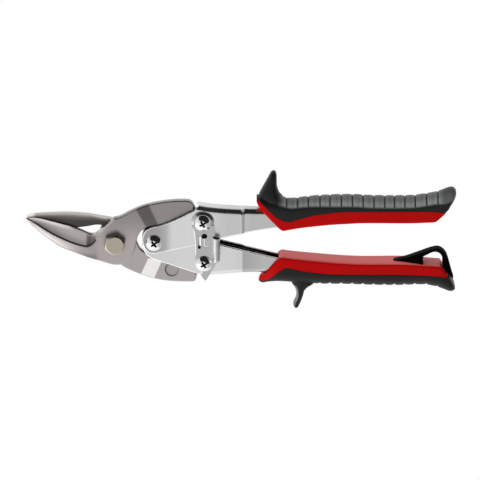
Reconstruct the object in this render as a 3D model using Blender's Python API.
"""Compound-action aviation snips: two forged blades on a bolt, two pressed U-channel handles, a kite of four pins,
an opening spring, a swinging latch, two-part grips and a hanging loop. Lengths are in millimetres until they reach
a mesh.

X runs from the jaws (-X) to the grips (+X), Y points to the upper handle and Z is the thickness. The blades' shear
plane is Z = 0 and the main bolt's axis passes through the origin, until the last step centres the whole tool."""

import math

import bmesh
import bpy
import numpy as np
from mathutils.geometry import delaunay_2d_cdt

MM = 0.001

# The four pins make a kite about a line tilted by AXIS_TILT through the bolt.
AXIS_TILT = math.radians(1.4)
BOLT_TO_HANDLE_PIN = 22.65
BOLT_TO_LINK_LINE = 51.26
HALF_LINK_SPREAD = 12.45

SHEET = 1.5  # pressed steel of the handles
HALF_SHEAR_GAP = 0.15
BLADE_FACE = 4.45  # |z| of either blade's outer face
INNER_WALL = 3.2  # |z| of the inside face of each handle's inner wall
OUTER_WALL = 5.8  # |z| of the inside face of each handle's outer wall
NOSE_PINCH = 0.8  # the outer walls step in round the handle pin
GRIP_STEP = 1.3  # and again before the grips
PIN_R = 2.45
HOLE_R = 2.75
BOLT_R = 3.5
BOLT_HOLE_R = 3.8
NECK_R = 1.7  # thin neck of the lower link screw, which the latch goes round
LATCH_Z = (8.1, 9.3)
LATCH_SEAT_Z = 7.9  # top of the washer and of the screw collar below the latch
PLAY = 0.3
OVERLAP = 1.0  # how far cutters and joined parts run past a face

# Centre of the whole tool's bounding box, which becomes the origin.
TOOL_CENTRE = (73.05, 1.1, 0.55)


def on_axis(along, across):
    """Point given along and across the kite's line."""
    c, s = math.cos(AXIS_TILT), math.sin(AXIS_TILT)
    return (along * c - across * s, along * s + across * c)


def across_axis(x, y):
    """Mirror image in the kite's line."""
    c, s = math.cos(AXIS_TILT), math.sin(AXIS_TILT)
    return on_axis(x * c + y * s, x * s - y * c)


MAIN_BOLT = (0.0, 0.0)
HANDLE_PIN = on_axis(BOLT_TO_HANDLE_PIN, 0)
UPPER_LINK = on_axis(BOLT_TO_LINK_LINE, HALF_LINK_SPREAD)
LOWER_LINK = on_axis(BOLT_TO_LINK_LINE, -HALF_LINK_SPREAD)

# ---------------------------------------------------------------- materials

STEEL = dict(name="forged_steel", colour=(0.32, 0.31, 0.29, 1), metallic=1.0, roughness=0.38)
PLATED = dict(name="plated_steel", colour=(0.56, 0.56, 0.56, 1), metallic=1.0, roughness=0.3)
SCREW = dict(name="bright_screw", colour=(0.62, 0.62, 0.62, 1), metallic=1.0, roughness=0.15)
BOLT = dict(name="passivated_bolt", colour=(0.42, 0.39, 0.31, 1), metallic=1.0, roughness=0.3)
SPRING = dict(name="blackened_wire", colour=(0.02, 0.02, 0.02, 1), metallic=0.6, roughness=0.4)
RED = dict(name="red_grip", colour=(0.42, 0.008, 0.012, 1), metallic=0.0, roughness=0.35)
BLACK = dict(name="black_grip", colour=(0.03, 0.03, 0.032, 1), metallic=0.0, roughness=0.6)


def paint(obj, finish):
    """Gives the object its own material, named after both."""
    material = bpy.data.materials.new(obj.name + "_" + finish["name"])
    material.use_nodes = True
    shader = next(n for n in material.node_tree.nodes if n.type == "BSDF_PRINCIPLED")
    shader.inputs["Base Color"].default_value = finish["colour"]
    shader.inputs["Metallic"].default_value = finish["metallic"]
    shader.inputs["Roughness"].default_value = finish["roughness"]
    obj.data.materials.clear()
    obj.data.materials.append(material)


# ---------------------------------------------------------------- solids


def add(name, verts, faces):
    """Makes an object from points in millimetres, with its faces turned outward."""
    mesh = bpy.data.meshes.new(name)
    mesh.from_pydata([(x * MM, y * MM, z * MM) for x, y, z in verts], [], faces)
    mesh.update()
    bm = bmesh.new()
    bm.from_mesh(mesh)
    bmesh.ops.remove_doubles(bm, verts=bm.verts, dist=1e-7)
    bmesh.ops.recalc_face_normals(bm, faces=bm.faces)
    if bm.calc_volume(signed=True) < 0:
        bmesh.ops.reverse_faces(bm, faces=bm.faces)
    bm.to_mesh(mesh)
    bm.free()
    obj = bpy.data.objects.new(name, mesh)
    bpy.context.scene.collection.objects.link(obj)
    return obj


def combine(obj, other, operation="DIFFERENCE"):
    """Applies a boolean to obj and removes the other object."""
    modifier = obj.modifiers.new("boolean", "BOOLEAN")
    modifier.operation = operation
    modifier.solver = "EXACT"
    modifier.object = other
    bpy.context.view_layer.update()
    graph = bpy.context.evaluated_depsgraph_get()
    mesh = bpy.data.meshes.new_from_object(obj.evaluated_get(graph))
    obj.modifiers.clear()
    obj.data = mesh
    bpy.data.objects.remove(other, do_unlink=True)
    return obj


def prism(name, outline, z0, z1, foot=None):
    """Outline at z1 and, unless foot gives another, the same at z0."""
    foot = foot or outline
    n = len(outline)
    verts = [(x, y, z0) for x, y in foot] + [(x, y, z1) for x, y in outline]
    faces = [list(range(n))[::-1], list(range(n, 2 * n))]
    faces += [[i, (i + 1) % n, n + (i + 1) % n, n + i] for i in range(n)]
    return add(name, verts, faces)


def skin(name, rings):
    """Joins rings of equally many points in order and closes both ends."""
    n = len(rings[0])
    verts = [point for ring in rings for point in ring]
    faces = []
    for base in range(0, len(verts) - n, n):
        for i in range(n):
            j = (i + 1) % n
            faces.append([base + i, base + j, base + n + j, base + n + i])
    faces.append(list(range(n))[::-1])
    faces.append(list(range(len(verts) - n, len(verts))))
    return add(name, verts, faces)


def lathe(name, centre, profile, n=32):
    """Turns (radius, z) points, only the first and last on the axis, about a line along Z."""
    verts, rings = [], []
    for radius, z in profile:
        if radius <= 0:
            rings.append([len(verts)])
            verts.append((*centre, z))
        else:
            rings.append(list(range(len(verts), len(verts) + n)))
            for i in range(n):
                a = 2 * math.pi * i / n
                x, y = centre[0] + radius * math.cos(a), centre[1] + radius * math.sin(a)
                verts.append((x, y, z))
    faces = []
    for low, high in zip(rings, rings[1:]):
        for i in range(n):
            j = (i + 1) % n
            if len(low) == 1:
                faces.append([low[0], high[j], high[i]])
            elif len(high) == 1:
                faces.append([low[i], low[j], high[0]])
            else:
                faces.append([low[i], low[j], high[j], high[i]])
    return add(name, verts, faces)


def rod(name, centre, radius, z0, z1, n=32):
    return lathe(name, centre, [(0, z0), (radius, z0), (radius, z1), (0, z1)], n)


def drill(obj, centre, radius, z0=-30, z1=30, n=24):
    return combine(obj, rod("cut", centre, radius, z0, z1, n))


def tube(name, centre, radius, hole, z0, z1):
    body = drill(rod(name, centre, radius, z0, z1), centre, hole, z0 - OVERLAP, z1 + OVERLAP)
    paint(body, PLATED)


def hexagon(centre, flats, turn):
    radius = flats / 2 / math.cos(math.pi / 6)
    angles = [turn + i * math.pi / 3 for i in range(6)]
    return [(centre[0] + radius * math.cos(a), centre[1] + radius * math.sin(a)) for a in angles]


def circle(centre, radius, n, start, end):
    """n points on an arc between two angles in degrees, both included."""
    angles = [math.radians(a) for a in np.linspace(start, end, n)]
    return [(centre[0] + radius * math.cos(a), centre[1] + radius * math.sin(a)) for a in angles]


# ---------------------------------------------------------------- blades

EYE_R = 5.3  # round end of each blade's arm
PAD_R = EYE_R - 0.2  # disc on that end, reaching almost to the handle's outer wall
PAD_Z = OUTER_WALL - 0.2
RECESS_AT = (33.0, -18.0)  # round recess in the upper jaw's shear face
RECESS_R = 3.9
RECESS_Z = -0.5
CDT_INSIDE = 1  # keep only the triangles inside the outline
CDT_EPSILON = 1e-4


def full(points):
    """Blade points at full height."""
    return [(x, y, BLADE_FACE) for x, y in points]


# (x, y) round the bolt and along the arm's side nearer the X axis, on the lower jaw.
ARM_IN = [
    (1.7, -13.7), (3.8, -13.1), (6.8, -11.2), (9.3, -8.8), (10.8, -6.2), (11.6, -3.3), (12.2, 0.0),
    (13.0, 2.9), (13.8, 5.0), (15.1, 6.9), (17.6, 8.7), (20.9, 9.7), (30.0, 9.2), (42.0, 8.6),
]
# (x, y) back along the upper side of the lower jaw's arm.
ARM_TOP = [
    (47.0, 19.8), (45.9, 22.6), (45.1, 24.2), (43.5, 25.3), (36.5, 25.6), (29.6, 25.0), (22.6, 23.8),
    (15.7, 21.8), (8.7, 18.7), (4.6, 16.4), (1.7, 15.2), (-0.2, 15.0),
]

# Blade outlines and ridges are (x, y, height above the shear plane).
LOWER_JAW = [
    (-51.6, 14.0, 1.2), (-50.5, 12.1, 1.5), (-47.2, 8.8, 1.9), (-43.5, 5.7, 2.1), (-36.5, 0.2, 2.3),
    (-33.2, -2.2, 2.4), (-29.6, -4.1, 2.5), (-22.6, -6.6, 2.8), (-15.7, -9.2, 3.4),
    *full([(-8.7, -11.2), (-1.7, -13.4)]),
    *full(ARM_IN),
    *full(circle(UPPER_LINK, EYE_R, 12, -95, 115)),
    *full(ARM_TOP),
    *full([(-3.4, 12.2), (-7.2, 8.4), (-9.6, 6.3)]),
    (-11.3, 5.1, 2.6), (-14.0, 5.0, 1.6), (-18.7, 6.9, 1.4), (-23.8, 8.7, 1.4), (-30.3, 10.4, 1.4),
    (-37.2, 12.3, 1.4), (-43.7, 13.9, 1.3), (-48.5, 14.2, 1.2),
]
LOWER_JAW_RIDGE = [
    (-50.3, 13.4, 1.5), (-44.1, 9.9, 3.0), (-37.2, 5.5, 4.0),
    *full([(-30.3, 1.6), (-23.8, -0.6), (-18.7, -2.0), (-15.4, -2.1), (-12.6, -0.6), (-11.2, 2.2)]),
]
UPPER_JAW = [
    (-51.4, 14.3, 1.2), (-43.7, 12.9, 1.3), (-37.2, 10.9, 1.4), (-30.3, 8.9, 1.5), (-23.8, 7.9, 1.5),
    (-16.4, 8.6, 1.8), (-10.8, 9.6, 2.6),
    *full([(-7.4, 9.4), (-8.6, 6.4), (-9.6, 2.0), (-9.4, -3.0), (-7.2, -7.6), (-3.2, -11.2)]),
    *full([(0.6, -13.2), (5.2, -16.6), (8.7, -18.4), (12.2, -20.0), (19.1, -22.5), (26.1, -24.3)]),
    *full([(33.0, -25.2), (43.5, -25.5), (45.9, -25.3), (46.9, -23.9), (47.4, -21.6), (48.0, -17.6)]),
    *full(circle(LOWER_LINK, EYE_R, 12, -115, 95)),
    *full([across_axis(x, y) for x, y in reversed(ARM_IN[5:])]),
    *full([(11.9, 3.4), (10.6, 6.9), (8.0, 10.0), (4.0, 12.2), (-1.7, 12.9)]),
    (-8.7, 14.3, 4.2), (-15.7, 15.6, 3.9), (-26.1, 16.6, 3.4), (-36.5, 16.6, 2.8), (-47.0, 16.2, 1.9),
    (-50.2, 15.6, 1.4),
]
UPPER_JAW_RIDGE = [
    (-48.6, 15.2, 1.7), (-40.0, 14.4, 3.0), (-30.3, 13.4, 3.8), (-20.0, 12.6, 4.2),
    (-10.6, 12.0, BLADE_FACE),
]


def blade(name, outline, ridge, side):
    """A forging with one flat face by the shear plane, on the +Z (side 1) or -Z (side -1) side of it."""
    n = len(outline)
    flat = [(x, y) for x, y, _ in outline + ridge]
    heights = [height for _, _, height in outline + ridge]
    edges = [(i, (i + 1) % n) for i in range(n)]
    edges += [(n + i, n + i + 1) for i in range(len(ridge) - 1)]
    verts, _, faces, origins, _, _ = delaunay_2d_cdt(
        flat, edges, [list(range(n))], CDT_INSIDE, CDT_EPSILON
    )
    # A vertex made where edges cross has no input point, so it takes the full height.
    tops = [heights[origin[0]] if origin else BLADE_FACE for origin in origins]
    points = [(x, y, side * HALF_SHEAR_GAP) for x, y in verts]
    points += [(x, y, side * top) for (x, y), top in zip(verts, tops)]

    count = len(verts)
    solid = [[count + i for i in face] for face in faces] + [list(face)[::-1] for face in faces]
    # A dict rather than a set keeps the edges in order; the ones used one way only form the rim.
    used = dict.fromkeys(edge for face in faces for edge in zip(face, face[1:] + face[:1]))
    solid += [[i, j, count + j, count + i] for i, j in used if (j, i) not in used]
    return add(name, points, solid)


def build_lower_jaw():
    """Its arm runs to the upper link screw."""
    jaw = blade("lower_jaw_blade", LOWER_JAW, LOWER_JAW_RIDGE, 1)
    combine(jaw, rod("pad", UPPER_LINK, PAD_R, BLADE_FACE - OVERLAP, PAD_Z), "UNION")
    drill(jaw, MAIN_BOLT, BOLT_HOLE_R, n=32)
    drill(jaw, UPPER_LINK, HOLE_R)
    paint(jaw, STEEL)


def build_upper_jaw():
    """Its arm runs to the lower link screw."""
    jaw = blade("upper_jaw_blade", UPPER_JAW, UPPER_JAW_RIDGE, -1)
    combine(jaw, rod("pad", LOWER_LINK, PAD_R, -PAD_Z, OVERLAP - BLADE_FACE), "UNION")
    drill(jaw, MAIN_BOLT, BOLT_HOLE_R, n=32)
    drill(jaw, LOWER_LINK, HOLE_R + 0.1)
    drill(jaw, RECESS_AT, RECESS_R, RECESS_Z, OVERLAP)
    paint(jaw, STEEL)


# ---------------------------------------------------------------- main bolt and nuts

BOLT_HEAD_TOP = 9.5
BOLT_END = -10.9
BOLT_CHAMFER = 0.5
WASHER_R = 7.0
NUT_GAP = 0.2  # from a handle wall to its nut
NUT_REACH = 3.7  # from a handle wall to the far end of its nut


def build_bolt():
    head_hexagon = hexagon(MAIN_BOLT, 11.2, math.radians(12))
    bolt = prism("pivot_bolt", head_hexagon, BLADE_FACE + 0.15, BOLT_HEAD_TOP)
    top = BOLT_HEAD_TOP + 0.01  # clears the flat top
    crown = lathe("crown", MAIN_BOLT, [(0, 0), (7, 0), (7, 8.9), (5.6, top), (0, top)], 48)
    combine(bolt, crown, "INTERSECT")
    shank = [(0, BOLT_END), (BOLT_R - BOLT_CHAMFER, BOLT_END), (BOLT_R, BOLT_END + BOLT_CHAMFER)]
    shank += [(BOLT_R, 6), (0, 6)]
    combine(bolt, lathe("shank", MAIN_BOLT, shank), "UNION")
    paint(bolt, BOLT)


def nut(name, centre, flats, hole, z0, z1, turn, finish):
    """Hexagon nut with its -Z corners rounded off; turn is in radians."""
    body = prism(name, hexagon(centre, flats, turn), z0, z1)
    corner = flats / 2 / math.cos(math.pi / 6)
    foot, wide, top = z0 - 0.01, corner + 0.1, z1 + OVERLAP
    dome = [(0, foot), (corner - 0.75, foot), (wide, z0 + 0.5), (wide, top), (0, top)]
    combine(body, lathe("dome", centre, dome), "INTERSECT")
    drill(body, centre, hole)
    paint(body, finish)


def wall_nut(name, centre, wall, turn):
    """Small nut below the handle wall whose -Z face is at z = wall."""
    nut(name, centre, 8.0, HOLE_R, wall - NUT_REACH, wall - NUT_GAP, turn, PLATED)


def build_nuts():
    outer_face = -OUTER_WALL - SHEET
    nut("pivot_lock_nut", MAIN_BOLT, 11.0, BOLT_HOLE_R, -10.2, -5.8, math.radians(5), BOLT)
    wall_nut("handle_pivot_nut", HANDLE_PIN, outer_face + NOSE_PINCH, 0.1)
    wall_nut("upper_link_nut", UPPER_LINK, -INNER_WALL - SHEET, 0.3)
    wall_nut("lower_link_nut", LOWER_LINK, outer_face, 0.5)


# ---------------------------------------------------------------- handle channels

UPPER_FRONT = 48.3  # x where the webs start
LOWER_FRONT = 51.5
CHANNEL_END = 150.0
BEND_R = 1.6  # outside bends between web and walls
BEND_SEGMENTS = 3
NOSE_RAMP = (29.5, 32.0)  # x range where the outer wall leaves its pinch
GRIP_RAMP = (73.0, 75.5)  # x range where it steps in for the grip
STEP_Z = (0.5, OUTER_WALL - 0.1)  # the steps grow from nothing to full over this |z|

# (along, across) the kite's line, for the upper handle; the lower one mirrors it.
NOSE = [
    (21.3, 10.4), (18.0, 7.6), (16.4, 4.6), (15.8, 1.5), (16.3, -1.5), (17.7, -4.4), (20.1, -6.2),
    (22.9, -6.7),
]
# (x, y) of the open edge towards +X, of the web back towards -X, and of one shoulder point.
UPPER_EDGE = [
    (45.7, -0.9), (52.0, 0.6), (58.5, 2.6), (65.0, 4.4), (73.0, 6.1), (86.0, 8.6), (92.0, 9.5),
    (100, 10.6), (115, 12.4), (125, 13.4), (140, 14.5), (CHANNEL_END, 14.8),
]
UPPER_WEB = [
    (CHANNEL_END, 22.4), (120, 21.6), (100, 20.6), (82, 20.5), (75, 20.8), (68, 21.1), (61, 21.6),
    (54, 22.4), (UPPER_FRONT, 23.5),
]
UPPER_SHOULDER = (46.9, 22.3)
LOWER_EDGE = [
    (45.7, 2.6), (52.0, 1.3), (61.1, -1.2), (66.0, -2.5), (72.5, -4.1), (86.0, -7.4), (94.0, -9.3),
    (100, -10.4), (115, -12.0), (125, -13.0), (140, -13.8), (CHANNEL_END, -14.0),
]
LOWER_WEB = [
    (CHANNEL_END, -21.6), (120, -20.6), (100, -19.4), (82, -18.8), (75, -18.9), (68, -19.4),
    (61, -20.0), (54, -20.6), (LOWER_FRONT, -20.8),
]
LOWER_SHOULDER = (47.8, -18.9)


def round_bends(body, web):
    """Bevels the two long edges of the web."""
    bm = bmesh.new()
    bm.from_mesh(body.data)
    web_points = {(round(x, 3), round(y, 3)) for x, y in web}
    bends = []
    for edge in bm.edges:
        start, end = edge.verts
        ends = [(round(v.co.x / MM, 3), round(v.co.y / MM, 3)) for v in edge.verts]
        level = abs(start.co.z - end.co.z) < 1e-7
        if level and all(point in web_points for point in ends):
            bends.append(edge)
    bmesh.ops.bevel(
        bm, geom=bends, offset=BEND_R * MM, segments=BEND_SEGMENTS, profile=0.5,
        affect="EDGES", clamp_overlap=True,
    )
    bm.to_mesh(body.data)
    bm.free()


def ramp(x, start, end):
    """0 at start, 1 at end, and held beyond them."""
    return min(1, max(0, (x - start) / (end - start)))


def step_outer_wall(body, side):
    """Moves the outer wall inward at the nose and along the grip."""
    bm = bmesh.new()
    bm.from_mesh(body.data)
    for x in NOSE_RAMP + GRIP_RAMP:
        parts = list(bm.verts) + list(bm.edges) + list(bm.faces)
        bmesh.ops.bisect_plane(bm, geom=parts, dist=1e-7, plane_co=(x * MM, 0, 0), plane_no=(1, 0, 0))
    for v in bm.verts:
        x, z = v.co.x / MM, v.co.z / MM * side
        step = NOSE_PINCH * (1 - ramp(x, *NOSE_RAMP)) + GRIP_STEP * ramp(x, *GRIP_RAMP)
        v.co.z -= side * step * MM * ramp(z, *STEP_Z)
    bm.to_mesh(body.data)
    bm.free()


def channel(name, edge, web, shoulder, link, side):
    """A U of pressed sheet. The upper handle (side 1) has its outer wall at +Z, the lower (side -1) at -Z."""
    nose = [on_axis(x, side * y) for x, y in NOSE]
    z0, z1 = sorted((side * (-INNER_WALL - SHEET), side * (OUTER_WALL + SHEET)))
    body = prism(name, nose + edge + web + [shoulder], z0, z1)
    round_bends(body, web)

    # The hollow is open towards the X axis and at both ends, and before the web starts.
    inside = [(x, y - side * SHEET) for x, y in web]
    front, away = web[-1][0], side * 60
    hollow = [(-10, -away), (CHANNEL_END + 10, -away), (CHANNEL_END + 10, inside[0][1])] + inside
    hollow += [(front, away), (-10, away)]
    z0, z1 = sorted((-side * INNER_WALL, side * OUTER_WALL))
    combine(body, prism("cut", hollow, z0, z1))

    step_outer_wall(body, side)
    drill(body, HANDLE_PIN, HOLE_R)
    drill(body, link, HOLE_R)
    paint(body, PLATED)


# ---------------------------------------------------------------- screws, washers, bush and spacers

PAN_R = 4.75
PAN_H = 2.55
# (inset from the rim, height above the seat) up the pan head.
PAN_CURVE = [(0.15, 0), (0, 0.25), (0.12, 0.9), (0.75, 1.65), (1.9, 2.25), (3.3, PAN_H)]
# Cross recess: (arm length, half arm width) at its floor and where the cutter ends above the head.
RECESS_FLOOR = (0.9, 0.42)
RECESS_MOUTH = (2.55, 0.62)
RECESS_HEIGHTS = (0.5, 4)  # of those two above the seat


def cross(centre, arm, half, turn):
    corners = [(arm, -half), (arm, half), (half, half), (half, arm), (-half, arm), (-half, half)]
    corners += [(-x, -y) for x, y in corners]
    c, s = math.cos(turn), math.sin(turn)
    # The second half starts at the -X arm, so dropping the repeated inner corner keeps one loop.
    return [
        (centre[0] + x * c - y * s, centre[1] + x * s + y * c)
        for x, y in corners[:6] + [(-arm, half)] + corners[7:9] + [(-half, -arm), (half, -arm), (half, -half)]
    ]


def pan_screw(name, centre, seat, end, turn, collar=None):
    """Pan head with a cross recess, turned by degrees, on a plain shank from the seat down to end.
    A collar, as (base z, top z, radius), has a thin neck above it."""
    profile = [(0, end), (PIN_R - 0.4, end), (PIN_R, end + 0.4)]
    if collar:
        base, top, radius = collar
        profile += [(PIN_R, base), (radius, base), (radius, top), (NECK_R, top), (NECK_R, seat)]
    else:
        profile += [(PIN_R, seat)]
    profile += [(PAN_R - inset, seat + height) for inset, height in PAN_CURVE]
    profile += [(0, seat + PAN_H)]
    body = lathe(name, centre, profile)

    angle = math.radians(turn)
    z0, z1 = (seat + height for height in RECESS_HEIGHTS)
    floor = cross(centre, *RECESS_FLOOR, angle)
    combine(body, prism("cut", cross(centre, *RECESS_MOUTH, angle), z0, z1, foot=floor))
    paint(body, SCREW)


def build_screws():
    handle_seat = OUTER_WALL + SHEET - NOSE_PINCH + PLAY / 2
    link_seat = LATCH_Z[1] + PLAY / 2
    collar = (INNER_WALL + SHEET + 0.15, LATCH_SEAT_Z, 4.0)
    pan_screw("handle_pivot_screw", HANDLE_PIN, handle_seat, end=-11.0, turn=38)
    pan_screw("upper_link_screw", UPPER_LINK, link_seat, end=-9.3, turn=30)
    pan_screw("lower_link_screw", LOWER_LINK, link_seat, end=-11.9, turn=33, collar=collar)


def build_washers_and_spacers():
    bush_z, spacer_z = INNER_WALL - 0.1, INNER_WALL - 0.15
    tube("pivot_washer", MAIN_BOLT, WASHER_R, BOLT_HOLE_R, -5.6, -4.7)
    tube("latch_washer", UPPER_LINK, 5.0, HOLE_R, 7.5, LATCH_SEAT_Z)
    tube("handle_pivot_bush", HANDLE_PIN, 3.6, HOLE_R, -bush_z, bush_z)
    tube("upper_link_spacer", UPPER_LINK, 4.4, HOLE_R, -spacer_z, 0)
    tube("lower_link_spacer", LOWER_LINK, 4.4, HOLE_R, 0, spacer_z)


# ---------------------------------------------------------------- latch

LATCH_R = 6.5
LATCH_CUT_Z = (5, 12)
TAB_TOP_Z = 13.0
# (x, y) round the plate, after its round end.
LATCH_OUTLINE = [
    (46.6, 5.6), (46.8, 0.0), (46.9, -4.5), (46.9, -12.0), (47.6, -14.7), (51.6, -20.9), (52.4, -21.5),
    (53.1, -21.0), (58.4, -11.6), (58.5, -10.4), (58.3, 5.0), (57.9, 8.4),
]
TAB_FOOT = [(57.0, -10.2), (60.4, -10.2), (60.4, 4.9), (57.0, 4.9)]
TAB_TOP = [(58.2, -9.4), (59.9, -9.4), (59.9, 4.7), (58.2, 4.7)]
LATCH_SLOT = [(48.5, 0.6), (49.6, 0.6), (49.6, 5.2), (48.5, 5.2)]
SEAT_SWEEP = 40  # degrees


def direction(start, end):
    """Angle in degrees of the line between two points."""
    return math.degrees(math.atan2(end[1] - start[1], end[0] - start[0]))


def latch_seat():
    """Opening for the neck, clear along every way it can leave as the latch swings or the handles part."""
    clear = NECK_R + PLAY + 0.05
    parting = direction(HANDLE_PIN, LOWER_LINK)
    swinging = direction(UPPER_LINK, LOWER_LINK)
    parting_r = math.dist(HANDLE_PIN, LOWER_LINK) + clear
    swinging_r = math.dist(UPPER_LINK, LOWER_LINK) - clear
    outer = circle(HANDLE_PIN, parting_r, 9, parting, parting - SEAT_SWEEP)
    end = circle(LOWER_LINK, clear, 9, parting - 0.1, 92)
    top = circle(UPPER_LINK, swinging_r, 7, swinging, swinging - SEAT_SWEEP)
    return outer[::-1] + end[1:-1] + top + [(20, -40)]


def build_latch():
    outline = circle(UPPER_LINK, LATCH_R, 15, -12, 222) + LATCH_OUTLINE
    latch = prism("latch_plate", outline, *LATCH_Z)
    combine(latch, prism("tab", TAB_TOP, LATCH_Z[0] + 0.2, TAB_TOP_Z, foot=TAB_FOOT), "UNION")
    drill(latch, UPPER_LINK, HOLE_R)
    drill(latch, (51.9, 5.6), 1.7, *LATCH_CUT_Z, n=20)
    drill(latch, (49.0, -1.1), 0.95, *LATCH_CUT_Z, n=16)
    combine(latch, prism("cut", LATCH_SLOT, *LATCH_CUT_Z))
    combine(latch, prism("cut", latch_seat(), *LATCH_CUT_Z))
    paint(latch, PLATED)


# ---------------------------------------------------------------- opening spring

WIRE_R = 0.9
WIRE_SIDES = 8
COIL_R = 4.95
COIL_TURNS = 2.5
COIL_START = math.radians(-78)
COIL_HALF_DEPTH = 2.1
COIL_STEPS = 46
COIL_DROPPED = 5  # last steps left out, where the upper leg takes over

# (x, y, z) along each leg: the lower towards the coil, the upper away from it.
LOWER_LEG = [
    (88.0, -8.9, 1.0), (72.5, -4.9, 1.2), (62.0, -2.4, 1.6), (52.0, -1.6, 2.0), (40.0, -2.8, 2.1),
    (30.0, -4.2, 2.1),
]
UPPER_LEG = [
    (30.0, 5.2, -2.1), (40.0, 4.6, -2.1), (52.0, 4.2, -2.1), (62.0, 5.0, -2.0), (72.5, 7.8, -1.8),
    (86.0, 11.2, -1.6),
]


def wire(name, points, radius, n):
    points = np.array(points, float)
    tangents = np.gradient(points, axis=0)
    tangents /= np.linalg.norm(tangents, axis=1)[:, None]
    rings = []
    for point, tangent in zip(points, tangents):
        across = np.cross((0.0, 0.0, 1.0), tangent)
        across /= np.linalg.norm(across)
        up = np.cross(tangent, across)
        angles = [2 * math.pi * i / n for i in range(n)]
        rings.append([tuple(point + radius * (math.cos(a) * across + math.sin(a) * up)) for a in angles])
    return skin(name, rings)


def build_spring():
    coil = []
    for t in np.linspace(0, 1, COIL_STEPS)[:-COIL_DROPPED]:
        a = COIL_START + t * COIL_TURNS * 2 * math.pi
        x, y = HANDLE_PIN[0] + COIL_R * math.cos(a), HANDLE_PIN[1] + COIL_R * math.sin(a)
        coil.append((x, y, COIL_HALF_DEPTH * (1 - 2 * t)))
    paint(wire("opening_spring", LOWER_LEG + coil + UPPER_LEG, WIRE_R, WIRE_SIDES), SPRING)


# ---------------------------------------------------------------- grips

GRIP_GAP = 0.15  # either side of the split between core and cover
POCKET_ROOM = 0.35  # round the channel
POCKET_START = 70  # channel points beyond this x shape the pocket
STATION_SPACING = 1.1  # closer stations are skipped
MIN_CORE = 0.8  # the core is left out where it would be no deeper than this
MIN_DEPTH = 0.35
MIN_HALF = 0.9
HORN_SIDES = 16
HORN_POWER = 0.75  # below 1 squares off the horn's oval sections
# Fractions of the depth at which each part's sections have points.
CORE_LEVELS = (0, 0.03, 0.09, 0.2, 0.5, 1)
COVER_LEVELS = (0, 0.25, 0.5, 0.72, 0.87, 0.96, 1)

# inner, split and outer are (x, distance from the X axis), half is (x, half thickness) and
# horn is (distance from the X axis, x start, x end, half thickness).
UPPER_GRIP = dict(
    inner=[
        (82.0, 26.4), (82.4, 24.2), (84.6, 20.9), (87.6, 17.3), (92.0, 12.6), (96.9, 8.1), (100, 8.4),
        (106.1, 9.5), (115.4, 10.7), (124.7, 11.7), (134.0, 12.3), (143.3, 12.8), (171.1, 12.8),
        (180, 13.1), (185.8, 13.6), (187.9, 15.2), (190.5, 17.6), (192.9, 20.2), (194.5, 23.0),
        (196.9, 26.6), (197.7, 29.6),
    ],
    split=[
        (82.0, 27.2), (83.4, 26.4), (85.2, 24.6), (87.6, 22.2), (92.2, 17.5), (95.0, 15.6), (98.0, 14.2),
        (101.5, 13.9), (106.1, 15.2), (110.8, 16.6), (115.4, 17.8), (120.1, 18.5), (124.7, 19.1),
        (129.3, 19.8), (140, 20.0), (185.0, 20.0), (191.4, 19.5), (193.2, 20.9), (194.5, 23.2),
        (196.9, 26.8), (197.7, 29.7),
    ],
    outer=[
        (82.0, 28.2), (84.0, 28.4), (88.0, 27.8), (94.0, 27.0), (97.4, 26.6), (101.5, 25.6),
        (106.1, 26.0), (110.8, 26.6), (115.4, 27.1), (124.7, 27.7), (138.6, 27.9), (148, 27.3),
        (171, 27.3), (175.7, 27.7), (180.4, 28.5), (185, 29.3), (189.7, 30.9), (193.4, 32.4),
        (195.2, 32.6), (196.6, 32.0), (197.4, 31.0), (197.7, 30.1),
    ],
    half=[
        (82.0, 5.6), (84, 6.9), (88, 7.5), (115, 7.9), (190, 7.9), (194, 7.2), (196.4, 5.8), (197.7, 3.6),
    ],
    horn=[
        (23.4, 88.6, 98.6, 6.2), (25.3, 86.4, 98.2, 6.5), (27.2, 84.0, 97.2, 6.5),
        (28.6, 83.0, 95.8, 6.4), (30.8, 84.2, 94.6, 6.1), (34.4, 85.9, 93.6, 5.5),
        (38.0, 87.6, 93.4, 4.9), (41.0, 89.0, 93.2, 4.2), (42.5, 89.9, 92.7, 3.2), (43.2, 90.6, 91.9, 1.6),
    ],
)
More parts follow.
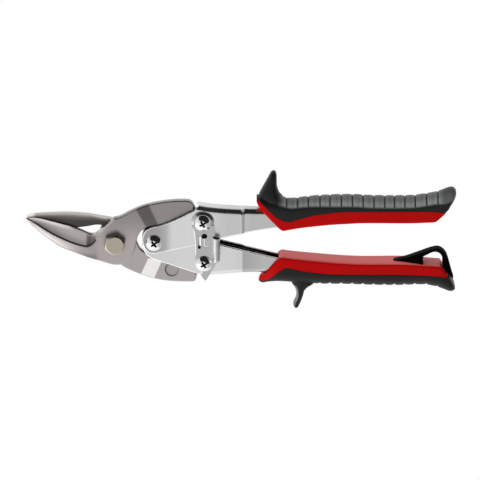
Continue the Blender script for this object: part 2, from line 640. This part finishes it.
LOWER_GRIP = dict(
    inner=[
        (83.3, 23.4), (83.8, 21.8), (86.4, 18.8), (89.3, 15.4), (92.6, 11.8), (96.3, 7.9), (100, 8.2),
        (106.1, 8.9), (115.4, 9.8), (124.7, 10.7), (134.0, 11.4), (143.3, 11.8), (166, 11.8),
        (176, 12.3), (185.0, 13.0), (188.6, 13.4), (189.4, 14.6), (191.0, 17.2), (193.2, 20.0),
        (195.2, 22.4), (196.6, 25.2), (197.5, 28.2),
    ],
    split=[
        (83.3, 23.7), (85.2, 23.6), (88.6, 22.2), (93.0, 18.4), (97.6, 14.9), (100.0, 14.2),
        (104.6, 15.2), (109.6, 16.3), (117, 17.4), (124.7, 18.1), (138.6, 18.3), (166.5, 18.4),
        (185, 19.2), (190.2, 19.8), (193.6, 21.0), (195.2, 23.0), (196.6, 25.4), (197.5, 28.4),
    ],
    outer=[
        (83.3, 24.6), (85.3, 25.6), (88.6, 25.0), (94.0, 24.5), (99.6, 24.7), (106, 25.3), (117.9, 25.9),
        (135, 26.1), (150, 26.6), (165, 26.7), (180.2, 26.4), (187.2, 27.9), (191, 29.4),
        (194.2, 30.6), (196.0, 30.5), (197.0, 29.8), (197.5, 28.9),
    ],
    half=[
        (83.3, 5.4), (85.5, 6.9), (89, 7.5), (115, 7.9), (190, 7.9), (194, 7.1), (196.2, 5.6), (197.5, 3.4),
    ],
    horn=[
        (21.0, 101.2, 116.5, 6.0), (25.6, 102.6, 115.4, 6.0), (27.4, 103.8, 112.6, 5.9),
        (29.8, 104.9, 110.2, 5.6), (32.5, 105.2, 109.4, 5.2), (35.0, 104.8, 108.6, 4.9),
        (38.2, 103.4, 107.4, 4.3), (40.2, 103.8, 106.4, 3.4), (41.0, 104.6, 105.8, 1.6),
    ],
)


def curve(points, x):
    xs, ys = zip(*points)
    return float(np.interp(x, xs, ys))


def half_at(grip, x, level):
    """Half thickness of the whole grip at a distance from the X axis."""
    inner, outer, half = (curve(grip[key], x) for key in ("inner", "outer", "half"))
    depth = max(outer - inner, 0.5)
    corner = min(1.6, depth * 0.3)  # small round on the inner side
    crown = min(7.0, depth * 0.6)  # large one on the outer side
    below, above = level - inner, outer - level
    value = half
    if below < corner:
        value = half - corner + math.sqrt(max(0, corner**2 - (corner - below) ** 2))
    if above < crown:
        value = min(value, half * math.sqrt(max(0.0, 1 - (1 - max(above, 0) / crown) ** 2)))
    return max(value, MIN_HALF)


def shell(name, grip, side, low, high, stations, levels):
    """The part of the grip between two curves, in sections across X."""
    rings = []
    for x in stations:
        start = low(x)
        end = max(high(x), start + MIN_DEPTH)
        section = [start + (end - start) * t for t in levels]
        ring = [(x, side * y, half_at(grip, x, y)) for y in section]
        rings.append(ring + [(x, y, -z) for x, y, z in reversed(ring)])
    return skin(name, rings)


def horn(rows, side):
    """Finger stop rising from the cover, in squared oval sections across Y."""
    rings = []
    for level, start, end, half in rows:
        middle, reach = (start + end) / 2, (end - start) / 2
        ring = []
        for i in range(HORN_SIDES):
            a = 2 * math.pi * (i + 0.5) / HORN_SIDES
            c, s = (math.copysign(abs(v) ** HORN_POWER, v) for v in (math.cos(a), math.sin(a)))
            ring.append((middle + reach * c, side * level, half * s))
        rings.append(ring)
    return skin("horn", rings)


def pocket(edge, web, side):
    """Cutter for the space the channel takes up in the grip."""
    low = [(x, y - side * POCKET_ROOM) for x, y in edge if x > POCKET_START]
    high = [(x, y + side * POCKET_ROOM) for x, y in web if x > POCKET_START]
    low[-1] = (CHANNEL_END + POCKET_ROOM, low[-1][1])
    high[0] = (CHANNEL_END + POCKET_ROOM, high[0][1])
    outer = side * (OUTER_WALL + SHEET - GRIP_STEP + POCKET_ROOM)
    inner = -side * (INNER_WALL + SHEET + POCKET_ROOM)
    return prism("cut", low + high, *sorted((outer, inner)))


def build_grip(prefix, grip, side, edge, web):
    def inner(x):
        return curve(grip["inner"], x)

    def split(x):
        return curve(grip["split"], x)

    def outer(x):
        return curve(grip["outer"], x)

    every = sorted({x for key in ("inner", "split", "outer") for x, _ in grip[key]})
    stations = [every[0]]
    for x in every[1:]:
        if x - stations[-1] > STATION_SPACING or x == every[-1]:
            stations.append(x)
    core_stations = [x for x in stations if split(x) - inner(x) > MIN_CORE]

    core = shell(
        prefix + "_core", grip, side, inner, lambda x: split(x) - GRIP_GAP, core_stations, CORE_LEVELS
    )
    cover = shell(
        prefix + "_cover", grip, side, lambda x: split(x) + GRIP_GAP, outer, stations, COVER_LEVELS
    )
    combine(cover, horn(grip["horn"], side), "UNION")
    for part, finish in ((core, RED), (cover, BLACK)):
        combine(part, pocket(edge, web, side))
        paint(part, finish)


# ---------------------------------------------------------------- hanging loop

LOOP_HALF = 2.6
HEEL_HALF = 7.0
LOOP = [
    (162.6, -11.4), (168.5, -10.0), (175.2, -7.6), (183.9, -4.5), (187.2, -4.0), (190.0, -5.2),
    (191.9, -7.4), (193.4, -11.4), (195.0, -17.4), (196.4, -22.0), (195.6, -22.2), (193.4, -19.7),
    (191.3, -16.9), (189.9, -14.2), (189.9, -11.6), (189.6, -8.8), (187.8, -6.7), (185.0, -6.2),
    (178.9, -9.0), (178.6, -9.6), (178.6, -12.1), (176.0, -12.0), (171.0, -11.75), (162.6, -11.5),
]
# The heels taper from the middle plane to a small end on either side.
HEEL_MIDDLE = [(164.0, -11.6), (178.6, -12.1), (178.6, -9.8), (174.0, -8.9)]
HEEL_END = [(177.4, -12.08), (178.6, -12.1), (178.6, -11.6), (177.6, -11.6)]


def build_hanger():
    hanger = prism("hanging_loop", LOOP, -LOOP_HALF, LOOP_HALF)
    combine(hanger, prism("heel", HEEL_END, 0, HEEL_HALF, foot=HEEL_MIDDLE), "UNION")
    combine(hanger, prism("heel", HEEL_MIDDLE, -HEEL_HALF, 0, foot=HEEL_END), "UNION")
    paint(hanger, BLACK)


# ---------------------------------------------------------------- assembly


def centre_tool():
    for obj in bpy.context.scene.collection.objects:
        for v in obj.data.vertices:
            v.co.x -= TOOL_CENTRE[0] * MM
            v.co.y -= TOOL_CENTRE[1] * MM
            v.co.z -= TOOL_CENTRE[2] * MM
        obj.data.update()


for old in list(bpy.data.objects):
    bpy.data.objects.remove(old, do_unlink=True)

build_lower_jaw()
build_upper_jaw()
build_bolt()
channel("upper_handle_channel", UPPER_EDGE, UPPER_WEB, UPPER_SHOULDER, UPPER_LINK, 1)
channel("lower_handle_channel", LOWER_EDGE, LOWER_WEB, LOWER_SHOULDER, LOWER_LINK, -1)
build_screws()
build_nuts()
build_washers_and_spacers()
build_latch()
build_spring()
build_grip("upper_grip", UPPER_GRIP, 1, UPPER_EDGE, UPPER_WEB)
build_grip("lower_grip", LOWER_GRIP, -1, LOWER_EDGE, LOWER_WEB)
build_hanger()
centre_tool()
